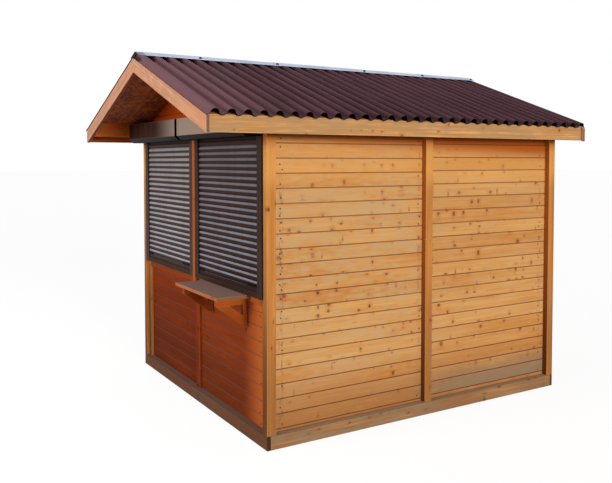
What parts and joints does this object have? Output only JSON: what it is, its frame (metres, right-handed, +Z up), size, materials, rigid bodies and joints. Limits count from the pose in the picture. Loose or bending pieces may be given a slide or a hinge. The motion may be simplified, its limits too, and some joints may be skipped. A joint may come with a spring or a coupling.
{
  "type": "wooden market hut",
  "caption": "Boarded timber market hut with a corrugated gable roof, roller shutters over a low serving front, a bracketed shelf and a plain back door.",
  "frame": {"origin": "on the ground, under the middle of the roof", "axes": "+Z up, +Y from the shuttered front gable to the back, +X to the right as seen from the front"},
  "size_m": [2.4474, 2.983, 2.3922],
  "materials": {
    "side_boards": "honey-stained pine boards with knots, matt",
    "front_boards": "red-orange stained pine boards, matt",
    "frame_timber": "orange-stained planed pine, satin",
    "base_timber": "weathered grey-brown softwood, matt",
    "floor_boards": "plain softwood boards, matt",
    "pale_timber": "pale pine, clear stain",
    "shelf_timber": "greyed softwood shelf, matt",
    "strand_board": "bare strand board, matt",
    "roof_sheeting": "maroon-brown corrugated fibre-bitumen sheet, matt",
    "galvanised": "galvanised sheet, dull",
    "shutter_paint": "dark brown painted aluminium, satin",
    "fittings": "black painted steel, satin"
  },
  "bodies": {
    "root": {"side_wall_right": "side_boards", "side_wall_left": "side_boards", "back_walls": "side_boards", "door_leaf": "side_boards", "front_wall_right": "front_boards", "front_wall_left": "front_boards", "front_gable": "front_boards", "back_gable": "front_boards", "counter_rail": "front_boards", "front_head_rail": "front_boards", "back_head_rail": "front_boards", "centre_post": "front_boards", "shelf_brackets": "front_boards", "corner_posts_front": "frame_timber", "corner_posts_back": "frame_timber", "corner_boards_front": "frame_timber", "corner_boards_back": "frame_timber", "mid_post_right": "frame_timber", "mid_post_left": "frame_timber", "wall_plate_right": "frame_timber", "wall_plate_left": "frame_timber", "cover_strip": "frame_timber", "door_posts": "frame_timber", "sill_right": "base_timber", "sill_left": "base_timber", "sill_front": "base_timber", "sill_back": "base_timber", "floor_joists": "base_timber", "floor_deck": "floor_boards", "fascia_right": "pale_timber", "fascia_left": "pale_timber", "barge_boards_front": "pale_timber", "barge_boards_back": "pale_timber", "counter_shelf": "shelf_timber", "roof_deck_right": "strand_board", "roof_deck_left": "strand_board", "roof_sheet_right": "roof_sheeting", "roof_sheet_left": "roof_sheeting", "ridge_cap": "galvanised", "shutter_box_right": "shutter_paint", "shutter_box_left": "shutter_paint", "shutter_guides_right": "shutter_paint", "shutter_guides_left": "shutter_paint", "shutter_sills": "shutter_paint", "shutter_curtain_right": "shutter_paint", "shutter_curtain_left": "shutter_paint", "door_hinges": "fittings", "door_handle": "fittings"}
  },
  "joints": []
}
